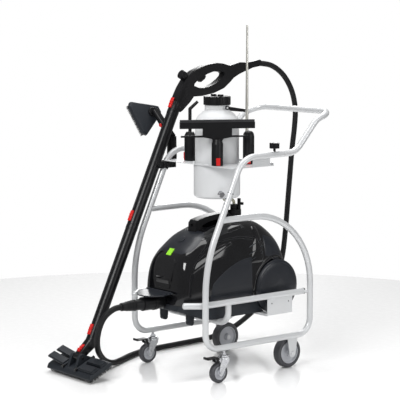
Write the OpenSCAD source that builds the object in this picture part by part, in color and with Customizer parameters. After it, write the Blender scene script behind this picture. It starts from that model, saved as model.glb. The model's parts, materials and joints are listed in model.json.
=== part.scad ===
// Vapour steam cleaner on a wheeled tube trolley, with lance, hose, brushes and
// refill bottle. Millimetres, +Z up, the front of the trolley faces -Y.

/* [Trolley] */
// centre distance of the two side frames
frame_w = 460; // [450:2:480]
// outside diameter of the frame tubes
tube_d = 25; // [24:0.5:26]
// wall of the frame tubes
tube_wall = 2; // [1.5:0.25:3]
// height of the middle of the push bar
bar_z = 1040; // [1020:2:1060]
// diameter of the front caster wheels
caster_d = 80; // [75:1:80]
// diameter of the rear wheels
rear_wheel_d = 125; // [100:1:125]

/* [Steam generator] */
// wall of the moulded shells
shell_wall = 3; // [2:0.25:4]
// diameter of the generator's own rear wheels
gen_wheel_d = 224; // [200:2:230]
// diameter of the boiler
boiler_d = 150; // [120:2:160]

/* [Hose and lance] */
// outside diameter of the steam hose
hose_d = 24; // [20:0.5:26]
// outside diameter of the extension tubes
lance_d = 48; // [40:1:50]
// lean of the parked lance
lance_lean = 26.8; // [26:0.1:28]
// width of the floor brush
brush_w = 300; // [240:5:320]
// length of the floor brush bristles
bristle_len = 17; // [12:1:20]

/* [Accessories] */
// blade length of the window squeegee
squeegee_w = 300; // [240:5:320]
// height of the hose support rod's tip
rod_top = 1392; // [1200:5:1450]
// diameter of the rod at its tip
rod_tip_d = 8; // [6:0.5:9]
// diameter of the refill bottle
bottle_d = 178; // [160:1:180]

/* [Hidden] */
$fn = 48;

// the middle of the footprint stands on the origin
shift = [89.2, 103.6, 0];

hx = frame_w / 2;
tr = tube_d / 2;
bore = tube_d - 2 * tube_wall;
rail_x = hx - tube_d + 1;
low_z = 136;
tray_z = 836;
tray_t = 3;
split_z = 297;
belly_z = 235;
gx = 150;
wheel_y = 165;
wheel_z = 330;
foot = [-205, -518.6, 118];
lance_roll = -3;
seam = [28, 520, 1035];
brush_tilt = 24;
brush_c = [-204, -562, 0];
brush_dep = 118;
bottle_c = [0, -28];
caster_y = -182;
trail = 28;
axle_y = 182;
rear_x = hx - tr - 21;

FRAME = [0.80, 0.81, 0.82];
DARK = [0.08, 0.08, 0.09];
SLATE = [0.22, 0.24, 0.28];
RED = [0.80, 0.10, 0.10];
ZINC = [0.70, 0.71, 0.72];
PALE = [0.88, 0.89, 0.88];

// ---- helpers ---------------------------------------------------------------
function unit(v) = v / norm(v);
function bend_a(p, i) =
    acos(max(-1, min(1, unit(p[i] - p[i - 1]) * unit(p[i + 1] - p[i]))));
function lead(p, r, i) =
    i == 0 || i == len(p) - 1 ? 0 : r[i] * tan(bend_a(p, i) / 2);

// a round bar from a to b
module stick(a, b, d, d2 = 0) {
    v = b - a;
    translate(a) rotate([0, acos(v[2] / norm(v)), atan2(v[1], v[0])])
        cylinder(h = norm(v), d1 = d, d2 = d2 > 0 ? d2 : d);
}

// the arc at corner i of a bent bar
module elbow(p, r, i, d, b) {
    u = unit(p[i] - p[i - 1]);
    v = unit(p[i + 1] - p[i]);
    a = bend_a(p, i);
    n = unit(v - u * (u * v));
    w = cross(-n, u);
    c = p[i] - u * r[i] * tan(a / 2) + n * r[i];
    multmatrix([[-n[0], u[0], w[0], c[0]], [-n[1], u[1], w[1], c[1]],
        [-n[2], u[2], w[2], c[2]], [0, 0, 0, 1]])
        rotate_extrude(angle = a, $fn = 96) translate([r[i], 0]) difference() {
            circle(d = d);
            circle(d = b);
        }
}

// straight pipes joined by arcs
module hollow_bent(p, r, d, b) {
    for (i = [0 : len(p) - 2]) {
        u = unit(p[i + 1] - p[i]);
        a = p[i] + u * lead(p, r, i);
        c = p[i + 1] - u * lead(p, r, i + 1);
        difference() {
            stick(a, c, d);
            stick(a - u, c + u, b);
        }
    }
    for (i = [1 : len(p) - 2]) elbow(p, r, i, d, b);
}

// centre line of a bent bar as [point, direction], with n steps in each arc
function fillet(p, r, i, n) = let (u = unit(p[i] - p[i - 1]),
    v = unit(p[i + 1] - p[i]), a = bend_a(p, i), q = unit(v - u * (u * v)),
    c = p[i] - u * lead(p, r, i) + q * r[i])
    [for (k = [0 : n]) let (t = a * k / n)
        [c + (u * sin(t) - q * cos(t)) * r[i], u * cos(t) + q * sin(t)]];
function centre_line(p, r, n) = let (e = len(p) - 1) concat(
    [[p[0], unit(p[1] - p[0])]],
    [for (i = [1 : e - 1]) each fillet(p, r, i, n)],
    [[p[e], unit(p[e] - p[e - 1])]]);
function turn(l, u, i) = i >= len(l) ? [] :
    let (t = l[i][1], v = unit(u - t * (u * t)))
    concat([[v, cross(t, v)]], turn(l, v, i + 1));

// one continuous bent pipe with m flats round it
module bent_pipe(p, r, d, b, n = 8, m = 16) {
    l = centre_line(p, r, n);
    fr = turn(l, [0.9, 0.3, 0.2], 0);
    e = len(l) - 1;
    pts = [for (i = [0 : e]) for (w = [d, b]) for (j = [0 : m - 1])
        l[i][0] + (fr[i][0] * cos(360 * j / m) + fr[i][1] * sin(360 * j / m)) * w / 2];
    wall = [for (i = [0 : e - 1]) for (k = [0, 1]) for (j = [0 : m - 1])
        let (a = (2 * i + k) * m + j, c = (2 * i + k) * m + (j + 1) % m)
        for (f = [[a, a + 2 * m, c], [c, a + 2 * m, c + 2 * m]])
            k == 0 ? f : [f[2], f[1], f[0]]];
    ends = [for (i = [0, e]) for (j = [0 : m - 1])
        let (a = 2 * i * m + j, c = 2 * i * m + (j + 1) % m)
            i == 0 ? [a, c, c + m, a + m] : [a + m, c + m, c, a]];
    polyhedron(pts, concat(wall, ends));
}

// a rounded bar between stations of [y, height, half width] for the shells
function arch(s, n, base, k) = [for (j = [0 : n]) let (t = 180 * j / n)
    [s[2] * sign(cos(t)) * pow(abs(cos(t)), k), s[0],
     base + (s[1] - base) * pow(sin(t), k)]];

// skin between rings of the same size; closed by flat ends
function skin_faces(m, n, o, turned) = [for (i = [0 : m - 2]) for (j = [0 : n - 1])
    for (f = [[i * (n + 1) + j, i * (n + 1) + j + 1, (i + 1) * (n + 1) + j],
              [i * (n + 1) + j + 1, (i + 1) * (n + 1) + j + 1,
               (i + 1) * (n + 1) + j]])
        turned ? [f[2] + o, f[1] + o, f[0] + o] : [f[0] + o, f[1] + o, f[2] + o]];

// solid dome over a flat base
module dome(st, base, n = 24, k = 0.55) {
    m = len(st);
    pts = [for (s = st) for (q = arch(s, n, base, k)) q];
    under = [for (i = [0 : m - 2]) for (f = [
        [i * (n + 1), (i + 1) * (n + 1), i * (n + 1) + n],
        [(i + 1) * (n + 1), (i + 1) * (n + 1) + n, i * (n + 1) + n]]) f];
    polyhedron(pts, concat(skin_faces(m, n, 0, false), under,
        [[for (j = [n : -1 : 0]) j]],
        [[for (j = [0 : n]) (m - 1) * (n + 1) + j]]));
}

// a soft tube through route points, smoothed between them
function mix(p, t) = let (n = len(p) - 1, s = min(n - 1, floor(t * n)),
    f = t * n - s, a = p[max(0, s - 1)], b = p[s], c = p[s + 1],
    d = p[min(n, s + 2)])
    0.5 * (2 * b + (c - a) * f + (2 * a - 5 * b + 4 * c - d) * f * f
        + (3 * b - a - 3 * c + d) * f * f * f);
function run_along(p, n) = [for (i = [0 : n]) mix(p, i / n)];
// side vector carried along the line without twist
function carry(l, u, i) = i >= len(l) ? [] :
    let (t = unit(l[min(i + 1, len(l) - 1)] - l[max(i - 1, 0)]),
         v = unit(u - t * (u * t)))
    concat([[v, cross(t, v)]], carry(l, v, i + 1));
module soft_tube(p, d, n, sides) {
    l = run_along(p, n);
    fr = carry(l, [1, 0.2, 0.1], 0);
    pts = [for (i = [0 : n]) for (j = [0 : sides - 1])
        l[i] + (fr[i][0] * cos(360 * j / sides) + fr[i][1] * sin(360 * j / sides))
            * d / 2];
    polyhedron(pts, concat(
        [for (i = [0 : n - 1]) for (j = [0 : sides - 1])
            let (a = i * sides + j, b = i * sides + (j + 1) % sides)
            for (f = [[a, a + sides, b], [b, a + sides, b + sides]]) f],
        [[for (j = [0 : sides - 1]) j]],
        [[for (j = [sides - 1 : -1 : 0]) n * sides + j]]));
}

// places a shape in the plane of the parked lance, or along it
module lance_plane() { translate(foot) rotate([0, lance_roll, 0]) children(); }
module lance() { lance_plane() rotate([-lance_lean, 0, 0]) children(); }
module side(s) { translate([s * hx, 0, 0]) children(); }

// ---- trolley ---------------------------------------------------------------
lean = 0.4568;
function lean_y(z) = -218 + (z - 595) * lean;
top_z = 742;
loop_p = [[0, lean_y(top_z), top_z], [0, -275, 470], [0, -275, low_z],
    [0, 277, low_z], [0, 277, 645], [0, -176, 641]];
loop_r = [0, 560, 62, 62, 300, 0];
module side_loop(s) color(FRAME) side(s) {
    bent_pipe(loop_p, loop_r, tube_d, bore);
    // weld plug between the top bar and the front upright
    stick([0, -160, 641], [0, -187, 641], bore + 1);
}
module side_loop_left() side_loop(-1);
module side_loop_right() side_loop(1);

bar_y = 392;
upper_p = [[-hx, lean_y(top_z), top_z], [-hx, -88, 880], [-hx, 190, 884],
    [-hx, 305, bar_z - 28], [-hx, bar_y, bar_z], [hx, bar_y, bar_z],
    [hx, 305, bar_z - 28], [hx, 190, 884], [hx, -88, 880],
    [hx, lean_y(top_z), top_z]];
upper_r = [0, 100, 90, 90, 60, 60, 90, 90, 100, 0];
module handle_frame() color(FRAME) {
    bent_pipe(upper_p, upper_r, tube_d, bore, 6);
    // spigots that slide into the side frames
    for (s = [-1, 1]) difference() {
        union() {
            stick([s * hx, lean_y(744), 744], [s * hx, lean_y(756), 756], bore + 1);
            stick([s * hx, lean_y(694), 694], [s * hx, lean_y(745), 745], bore - 0.5);
        }
        stick([s * hx, lean_y(690), 690], [s * hx, lean_y(760), 760], bore - 4);
    }
}

rail_z = 308;
module cradle_rails() color(FRAME) {
    for (s = [-1, 1]) bent_pipe([[s * rail_x, 262, rail_z],
        [s * rail_x, -275, rail_z], [s * (rail_x - 43), -326, rail_z]],
        [0, 35, 0], tube_d, bore);
    bent_pipe([[rail_x, -140, rail_z - tr + 0.6], [rail_x, -140, 222],
        [-rail_x, -140, 222], [-rail_x, -140, rail_z - tr + 0.6]],
        [0, 50, 50, 0], tube_d, bore);
    // lugs that tie the rails to the uprights
    for (s = [-1, 1]) {
        translate([s * rail_x - 9, 251, rail_z - 9]) cube([18, 13.5, 18]);
        translate([s * (rail_x + 7.2) - 4, -270, rail_z - 5]) cube([8, 16, 10]);
    }
}

module cradle_bracket() color(PALE) {
    for (s = [-1, 1]) difference() {
        union() {
            translate([s * rail_x - 1.5, 66, 228]) cube([3, 134, rail_z - tr - 228]);
            translate([s > 0 ? rail_x - 24 : -rail_x, 66, 228]) cube([24, 60, 3]);
        }
        for (y = [90, 180]) translate([s * rail_x, y, 276]) rotate([0, 90, 0])
            cylinder(h = 8, d = 6.5, center = true);
    }
    translate([-rail_x + 1.5, 66, 225]) cube([2 * rail_x - 3, 3, 9]);
    translate([-rail_x + 1.5, 66, 231.6]) cube([2 * rail_x - 3, 34, 3]);
}

// tray for the tools with a hanging wing for the triangle brush
post = [-266, -52];
pegs = [[-135, -60], [95, -105], [120, 37]];
rod_at = [74, 67];
module tool_tray() color(PALE) {
    w = hx - tr;
    difference() {
        union() {
            translate([-w + 0.5, -130, tray_z]) cube([2 * w - 1, 216, tray_t]);
            translate([-290, -76, tray_z]) cube([290 - w + 4, 48, tray_t]);
        }
        translate([bottle_c[0], bottle_c[1], tray_z - 1])
            cylinder(h = tray_t + 2, d = 190, $fn = 96);
    }
    // straps with bolts into the frame tubes
    for (s = [-1, 1]) {
        translate([s > 0 ? w - 2.5 : -w, -24, tray_z]) cube([2.5, 90, 42]);
        for (y = [-8, 50]) translate([s * (w - 6), y, tray_z + 38])
            rotate([0, s * 90, 0]) cylinder(h = 12, d = 6);
    }
    translate([-w + 0.5, 83, tray_z]) cube([2 * w - 1, 3, 12]);
    for (p = pegs) translate([p[0], p[1], tray_z + tray_t]) difference() {
        cylinder(h = 26, d1 = 35, d2 = 33);
        translate([0, 0, 3]) cylinder(h = 30, d = 27);
    }
    translate([rod_at[0], rod_at[1], tray_z + tray_t]) difference() {
        cylinder(h = 44, d = 24);
        translate([0, 0, 2]) cylinder(h = 50, d = 14.5);
    }
    translate([post[0], post[1], tray_z + tray_t]) cylinder(h = 20, d = 22);
}

module bottle_holder() color(PALE) translate([bottle_c[0], bottle_c[1], 0])
    rotate_extrude($fn = 96) polygon([[0, 700], [84, 700], [92, 706], [94, 714],
        [94, tray_z + tray_t], [98, tray_z + tray_t], [98, tray_z + tray_t + 2],
        [91.5, tray_z + tray_t + 2], [91.5, 715], [90, 708], [84, 703], [0, 703]]);

// open spring jaw on the left upright that holds the lance
clip_w = 783;
module lance_clip() color(DARK) {
    difference() {
        union() {
            lance() translate([0, 0, clip_w]) cylinder(h = 26, d = lance_d + 11);
            translate([-hx, lean_y(818), 818]) rotate([-24.5, 0, 0])
                translate([0, 0, -14]) cylinder(h = 28, d = tube_d + 10);
            translate([-hx - 11, lean_y(818) - 44, 806]) cube([24, 92, 26]);
        }
        lance() translate([0, 0, clip_w - 30]) cylinder(h = 90, d = lance_d + 0.4);
        lance() translate([-50, -60, clip_w - 30]) cube([100, 54, 90]);
        stick([-hx, lean_y(760), 760], [-hx, lean_y(838), 838], tube_d + 0.4);
    }
}

// lobed clamping knob on the right handle tube
module clamp_knob() color(DARK) translate([hx, 78, 880 + 0.0156 * 166 + tr]) {
    translate([0, 0, 0.2]) cylinder(h = 12, d = 10);
    translate([0, 0, 12]) difference() {
        cylinder(h = 22, d = 40);
        for (a = [0 : 60 : 300]) rotate(a) translate([23, 0, -1])
            cylinder(h = 24, d = 14);
    }
}

// ---- wheels ----------------------------------------------------------------
cz = caster_d / 2;
module caster_stems() color(ZINC) for (s = [-1, 1])
    translate([s * hx, caster_y, 0]) {
        translate([0, 0, 102]) cylinder(h = 5, d = 40);
        translate([0, 0, 84]) cylinder(h = 19, d = 12);
        translate([0, 0, 107]) cylinder(h = 9, d = 22, $fn = 6);
        translate([0, 0, 107]) cylinder(h = low_z - tr - 107 + 0.6, d = 12);
    }

module caster_fork(s) color(ZINC) translate([s * hx, caster_y, 0]) {
    difference() {
        translate([0, 0, 91]) cylinder(h = 10, d = 46);
        translate([0, 0, 80]) cylinder(h = 22, d = 12.4);
    }
    for (t = [-1, 1]) translate([t * 18 - 1.5, 0, 0]) difference() {
        rotate([90, 0, 90]) linear_extrude(3) polygon([[-16, 98], [15, 98],
            [12, 84], [-16, 42], [-20, 32], [-28, 27], [-37, 31], [-38, 42],
            [-34, 70], [-26, 92]]);
        translate([-1, -trail, cz]) rotate([0, 90, 0]) cylinder(h = 6, d = 8.4);
    }
    translate([0, -trail, cz]) rotate([0, 90, 0]) {
        cylinder(h = 42, d = 8, center = true);
        for (t = [-1, 1]) translate([0, 0, t * 21.5])
            cylinder(h = 4, d = 14, center = true, $fn = 6);
    }
}
module caster_fork_left() caster_fork(-1);
module caster_fork_right() caster_fork(1);

// foot pedal that locks wheel and swivel
module caster_brake(s) color(DARK) translate([s * hx, caster_y, 0]) {
    difference() {
        union() {
            translate([-15, -90, 99]) cube([30, 48, 5]);
            translate([-15, -92, 99]) cube([30, 6, 9]);
            translate([-15.8, -46, 84]) cube([31.6, 9, 20]);
            translate([0, -38, 86]) rotate([0, 90, 0])
                cylinder(h = 31.6, d = 10, center = true);
        }
        translate([-9, -60, 80]) cube([18, 30, 15]);
    }
}
module caster_brake_left() caster_brake(-1);
module caster_brake_right() caster_brake(1);

module wheel_hub(r, rim, w, b) rotate([0, 90, 0]) rotate_extrude($fn = 72)
    polygon([[b, -w / 2], [b + 7, -w / 2], [b + 8, -w / 4], [rim - 6, -w / 4],
        [rim - 3, -w / 2 + 2], [r, -w / 2 + 2], [r, w / 2 - 2],
        [rim - 3, w / 2 - 2], [rim - 6, w / 4], [b + 8, w / 4], [b + 7, w / 2],
        [b, w / 2]]);
module wheel_tyre(r, ro, w) rotate([0, 90, 0]) rotate_extrude($fn = 72)
    polygon([[r, -w / 2 + 2], [ro - 6, -w / 2], [ro - 2, -w / 2 + 3],
        [ro, -w / 5], [ro, w / 5], [ro - 2, w / 2 - 3], [ro - 6, w / 2],
        [r, w / 2 - 2]]);
module at_caster(s) translate([s * hx, caster_y - trail, cz]) children();
module caster_wheel_left() color(PALE) at_caster(-1) wheel_hub(27, 27, 28, 4.2);
module caster_wheel_right() color(PALE) at_caster(1) wheel_hub(27, 27, 28, 4.2);
module caster_tyre_left() color(SLATE) at_caster(-1) wheel_tyre(27, cz, 27);
module caster_tyre_right() color(SLATE) at_caster(1) wheel_tyre(27, cz, 27);

rz = rear_wheel_d / 2;
module rear_axle_plates() color(FRAME) for (s = [-1, 1]) {
    difference() {
        translate([s * hx - 2, 0, 0]) rotate([90, 0, 90]) linear_extrude(4)
            polygon([[axle_y - 26, low_z - tr + 0.3], [axle_y - 15, rz - 8],
                [axle_y - 8, rz - 16], [axle_y + 8, rz - 16],
                [axle_y + 15, rz - 8], [axle_y + 26, low_z - tr + 0.3]]);
        translate([s * hx, axle_y, rz]) rotate([0, 90, 0])
            cylinder(h = 10, d = 11.6, center = true);
    }
    translate([s * hx, axle_y, rz]) rotate([0, s * 90, 0]) {
        translate([0, 0, -56]) cylinder(h = 62, d = 12);
        translate([0, 0, 2]) cylinder(h = 7, d = 20, $fn = 6);
        translate([0, 0, -58]) cylinder(h = 3, d = 20);
    }
}
module at_rear(s) translate([s * rear_x, axle_y, rz]) children();
module rear_wheel_left() color(PALE) at_rear(-1) wheel_hub(45, 45, 38, 6.2);
module rear_wheel_right() color(PALE) at_rear(1) wheel_hub(45, 45, 38, 6.2);
module rear_tyre_left() color(SLATE) at_rear(-1) wheel_tyre(45, rz, 37);
module rear_tyre_right() color(SLATE) at_rear(1) wheel_tyre(45, rz, 37);

// ---- steam generator -------------------------------------------------------
// [y, height, half width] along the cover
cover_st = [[-312, 338, 88], [-306, 392, 104], [-297, 440, 116],
    [-283, 478, 126], [-262, 503, 134], [-235, 524, 141], [-184, 558, gx - 2],
    [-132, 579, gx + 1], [-80, 594, gx + 3], [-20, 604, gx + 3],
    [40, 606, gx + 3], [90, 602, gx + 2], [125, 592, gx + 1],
    [165, 565, gx - 1], [200, 530, gx - 5], [222, 485, gx - 11],
    [232, 430, gx - 18], [236, 345, gx - 24]];
function thinner(st, t) = [for (i = [0 : len(st) - 1]) let (s = st[i])
    [i == 0 ? s[0] + t : i == len(st) - 1 ? s[0] - t : s[0] * 0.992,
     s[1] - t, s[2] - t]];
module wheel_well(s, r, x0, x1) translate([0, wheel_y, wheel_z])
    rotate([0, s * 90, 0]) translate([0, 0, x0]) cylinder(h = x1 - x0, r = r, $fn = 96);
well_r = gen_wheel_d / 2 + 6;
socket_z = 303;
nose_y = -312;
button_at = [0, -210, 541];
flap_at = [0, -324, 346];
module nose_bore(y0, y1, d) translate([0, y0, socket_z]) rotate([90, 0, 0])
    cylinder(h = y0 - y1, d = d);
module generator_cover() color(DARK) difference() {
    union() {
        difference() {
            dome(cover_st, split_z);
            dome(thinner(cover_st, shell_wall), split_z - 2);
        }
        for (s = [-1, 1]) intersection() {
            dome(cover_st, split_z);
            wheel_well(s, well_r + 3, 119, 200);
        }
        // finger well under the carry handle
        intersection() {
            dome(cover_st, split_z);
            translate([-43, -119, 565]) cube([86, 118, 60]);
        }
        // ears of the outlet flap
        for (s = [-1, 1]) translate([s * 80 - 3, flap_at[1] - 7, flap_at[2] - 7])
            cube([6, 22, 14]);
    }
    for (s = [-1, 1]) wheel_well(s, well_r, 122, 240);
    translate([-40, -116, 568]) cube([80, 112, 80]);
    translate(flap_at) rotate([0, 90, 0]) cylinder(h = 180, d = 6.6, center = true);
    // seats of the refill valve, the button and the steam outlet
    translate([0, 62, 580]) cylinder(h = 60, d = 52);
    translate(button_at) rotate([34, 0, 0]) cylinder(h = 30, d = 35, center = true);
    nose_bore(-280, -340, 56.4);
}

base_w = [[-310, 60], [-304, 92], [-292, 116], [-270, 130], [-228, 144],
    [-180, 150], [-120, gx + 3], [120, gx + 3], [190, 146], [222, 138],
    [234, 124]];
function outline(t) = concat([for (p = base_w) [p[1] - t, p[0] + (p[0] < 0 ? t : -t)]],
    [for (i = [len(base_w) - 1 : -1 : 0]) let (p = base_w[i])
        [-p[1] + t, p[0] + (p[0] < 0 ? t : -t)]]);
rise = 20;
module under_nose() translate([0, nose_y, belly_z + 42]) rotate([-rise, 0, 0])
    children();
module generator_base() color(SLATE) {
    difference() {
        union() {
            difference() {
                translate([0, 0, belly_z]) linear_extrude(split_z - belly_z - 0.2)
                    polygon(outline(0));
                translate([0, 0, belly_z + 4]) linear_extrude(80)
                    polygon(outline(4));
            }
            for (s = [-1, 1]) intersection() {
                translate([0, 0, belly_z]) linear_extrude(split_z - belly_z - 0.2)
                    polygon(outline(0));
                wheel_well(s, well_r + 3, 119, 160);
            }
            // sloping front floor
            under_nose() translate([-92, 7, -2]) cube([184, 130, 5]);
            // posts of the small casters
            for (x = [-84, 84]) translate([x, -236, belly_z - 9])
                cylinder(h = 34, d = 34);
        }
        for (s = [-1, 1]) wheel_well(s, well_r, 122, 240);
        difference() {
            under_nose() translate([-200, -60, -62]) cube([400, 220, 60]);
            for (x = [-84, 84]) translate([x, -236, belly_z - 9])
                cylinder(h = 34, d = 34);
        }
        nose_bore(-280, -340, 56.4);
    }
    // stubs for the rear wheels
    for (s = [-1, 1]) translate([s * 112, wheel_y, wheel_z]) rotate([0, s * 90, 0])
        difference() {
            cylinder(h = 42, d = 24);
            translate([0, 0, 40]) cylinder(h = 4, d = 10);
        }
    for (s = [-1, 1]) translate([s > 0 ? 108 : -122, wheel_y - 20, belly_z + 3])
        cube([14, 40, wheel_z - belly_z + 9]);
    // saddles under the boiler
    for (y = [-150, 40]) difference() {
        translate([-62, y - 6, belly_z + 3]) cube([124, 12, 128]);
        translate([0, y - 8, boiler_z]) rotate([-90, 0, 0])
            cylinder(h = 16, d = boiler_d + 0.2);
    }
    // small swivel casters
    for (x = [-84, 84]) translate([x, -236, belly_z - 15]) {
        rotate([0, 90, 0]) cylinder(h = 22, d = 24, center = true);
        translate([-8, -8, 0]) cube([16, 16, 16]);
    }
}

// raked control panel on the nose
module on_nose(y, z, tilt) translate([0, y, z]) rotate([90 - tilt, 0, 0]) children();
module front_panel() color([0.4, 0.41, 0.43]) {
    on_nose(-296, 434, 15) translate([0, 0, -0.6]) linear_extrude(3)
        polygon([[-54, -46], [54, -46], [60, 30], [46, 44], [-46, 44], [-60, 30]]);
    on_nose(-310, 368, 6) translate([0, 0, -1]) linear_extrude(3)
        polygon([[-46, -8], [46, -8], [50, 8], [-50, 8]]);
    translate([-40, -309, 366]) cube([80, 7, 36]);
}
module display_window() color([0.45, 0.85, 0.15]) translate([0, -268, 497])
    rotate([48, 0, 0]) translate([-14, -16, -4]) cube([28, 32, 7]);
module power_button() color([0.3, 0.31, 0.33]) translate(button_at)
    rotate([34, 0, 0]) translate([0, 0, -9]) cylinder(h = 13, d = 34);

module carry_handle() color(DARK) difference() {
    translate([-23, 0, 0]) rotate([90, 0, 90]) linear_extrude(46)
        polygon([[-160, 570], [-158, 604], [-148, 615], [-110, 625], [-60, 632],
            [-20, 634], [22, 630], [30, 622], [30, 602], [12, 602], [6, 610],
            [-4, 613], [-30, 613], [-60, 610], [-92, 604], [-120, 594],
            [-128, 584], [-132, 572]]);
    translate([0, -140, 597]) rotate([98, 0, 0]) cylinder(h = 40, d1 = 8, d2 = 20);
}

module refill_adapter() color(DARK) translate([0, 62, 0]) difference() {
    union() {
        translate([0, 0, 596]) cylinder(h = 14, d = 51.6);
        translate([0, 0, 609]) cylinder(h = 34, d = 60);
        translate([0, 0, 642]) cylinder(h = 22, d = 30);
        translate([16, 14, 642]) cylinder(h = 46, d = 14);
        translate([16, 14, 666]) rotate([0, 90, 40]) cylinder(h = 18, d = 12);
    }
    translate([0, 0, 645]) cylinder(h = 30, d = 12.2);
}

// smoked lid over the steam outlet
module outlet_flap() color(SLATE) translate(flap_at) {
    translate([0, 0, -4]) rotate([4, 0, 0]) linear_extrude(5)
        polygon([for (a = [0 : 12 : 180]) [(a > 12 && a < 168 ? 86 : 76) * cos(a),
            -94 * sin(a)]]);
    rotate([0, 90, 0]) cylinder(h = 152, d = 9, center = true);
    rotate([0, 90, 0]) cylinder(h = 168, d = 6, center = true);
}

module hose_socket() color(DARK) difference() {
    union() {
        nose_bore(-286, -346, 56);
        nose_bore(-344, -360, 60);
    }
    nose_bore(-326, -370, 36.4);
    nose_bore(-280, -330, 10);
}

module generator_wheel(s) translate([s * 124, wheel_y, wheel_z])
    rotate([0, s * 90, 0]) difference() {
        rotate_extrude($fn = 96) polygon([[12.3, 0], [84, 0], [98, 2],
            [gen_wheel_d / 2 - 6, 2], [gen_wheel_d / 2, 8], [gen_wheel_d / 2, 26],
            [gen_wheel_d / 2 - 5, 31], [100, 33], [98, 36], [84, 38.5], [50, 40],
            [0, 40.5], [0, 31.5], [12.3, 31.5]]);
    }
module generator_wheel_left() color(DARK) generator_wheel(-1);
module generator_wheel_right() color(DARK) generator_wheel(1);

boiler_z = 425;
module boiler() color(ZINC) translate([0, -220, boiler_z]) rotate([-90, 0, 0])
    rotate_extrude($fn = 72) polygon(concat(
        [for (a = [0 : 15 : 90]) [boiler_d / 2 * sin(a), 34 - 34 * cos(a)]],
        [for (a = [90 : 15 : 180]) [boiler_d / 2 * sin(a), 296 - 34 * cos(a)]],
        [for (a = [180 : -15 : 90]) [(boiler_d / 2 - 3) * sin(a), 296 - 31 * cos(a)]],
        [for (a = [90 : -15 : 0]) [(boiler_d / 2 - 3) * sin(a), 34 - 31 * cos(a)]]));

// ---- hose and lance --------------------------------------------------------
// from the plug on the generator round to the tail of the steam handle
route = [[0, -512, socket_z], [-2, -548, 298], [-18, -580, 268], [-46, -584, 222],
    [-84, -568, 168], [-126, -536, 118], [-172, -489, 76], [-214, -434, 40],
    [-248, -374, 18], [-286, -306, 13], [-330, -225, 13], [-362, -140, 13],
    [-376, -40, 13], [-382, 60, 13], [-388, 160, 13], [-388, 250, 16],
    [-372, 342, 38], [-342, 424, 92], [-306, 498, 170], [-278, 542, 260],
    [-264, 567, 360], [-262, 584, 480], [-262, 596, 600], [-262, 608, 720],
    [-262, 620, 840], [-262, 634, 940], [-262, 637, 1020], [-262, 614, 1100],
    [-262, 564, 1168], [-262, 496, 1210], [-263, 420, 1222.5]];
module hose() color(DARK) soft_tube(route, hose_d, 78, 10);

// elbow grip that plugs into the outlet
module hose_plug() color(DARK) difference() {
    union() {
        nose_bore(-332, -362, 36);
        nose_bore(-360.3, -411, 55);
        translate([0, -410, socket_z]) rotate([90, 0, 0])
            cylinder(h = 102, d1 = 46, d2 = 32);
        for (i = [0 : 3]) nose_bore(-446 - 12 * i, -452 - 12 * i, 45 - 2.4 * i);
    }
    nose_bore(-326, -530, 9);
}

loop_out = [[468, 903], [500, 920], [540, 952], [562, 975], [606, 976],
    [671, 986], [727, 1005], [760, 1028], [783, 1047], [812, 1061], [840, 1071],
    [891, 1087], [938, 1094], [939, 1118], [932, 1121], [892, 1114],
    [862, 1110], [818, 1112], [764, 1099], [724, 1109], [692, 1112],
    [651, 1108], [609, 1097], [570, 1083], [545, 1068], [520, 1044],
    [498, 1016], [466, 962], [448, 912]];
loop_in = [[565, 1020], [589, 1011], [620, 1010], [651, 1015], [682, 1026],
    [713, 1044], [730, 1058], [733, 1067], [726, 1074], [703, 1077],
    [671, 1076], [638, 1067], [612, 1056], [598, 1049], [580, 1038], [568, 1028]];
module steam_handle() color(DARK) {
    difference() {
        union() {
            lance_plane() translate([-19, 0, 0]) rotate([90, 0, 90])
                linear_extrude(38) polygon(loop_out);
            lance() translate([0, 0, seam[2] - 28]) cylinder(h = 60, d = lance_d);
        }
        lance_plane() translate([-25, 0, 0]) rotate([90, 0, 90])
            linear_extrude(50) polygon(loop_in);
        // slot of the trigger
        lance_plane() translate([-9, 596, 1040]) cube([18, 46, 38]);
        // seat of the steam knob
        lance_plane() translate([0, 534, 1058]) rotate([62, 0, 0]) {
            translate([0, 0, -0.4]) cylinder(h = 20, d = 30.6);
            translate([0, 0, 5.5]) cylinder(h = 30, d = 39);
        }
        lance_plane() translate([-14, 617, 1072]) rotate([0, 90, 0])
            cylinder(h = 28, d = 5);
        // seat of the latch and the bore for the tube's spigot
        lance() translate([-9, -40, seam[2] - 6]) cube([18, 20.5, 54]);
        lance() translate([0, 0, seam[2] - 60]) cylinder(h = 60, d = 60);
        lance() translate([0, 0, seam[2] - 1]) cylinder(h = 27, d = 30.4);
    }
}
module trigger() color(DARK) lance_plane() {
    translate([-8, 0, 0]) rotate([90, 0, 90]) linear_extrude(16)
        polygon([[600, 1040], [612, 1034], [632, 1046], [639, 1056],
            [634, 1072], [617, 1075], [604, 1068]]);
    translate([-13, 617, 1072]) rotate([0, 90, 0]) cylinder(h = 26, d = 4.8);
}
// ribbed steam flow knob on the nose of the handle
module steam_knob() color(DARK) lance_plane() translate([520, 0, 0] * 0)
    translate([0, 534, 1058]) rotate([62, 0, 0]) {
        cylinder(h = 22, d = 30);
        difference() {
            translate([0, 0, 6]) cylinder(h = 22, d = 38);
            for (a = [0 : 30 : 330]) rotate(a) translate([20, 0, 5])
                cylinder(h = 24, d = 5);
        }
    }

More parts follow.
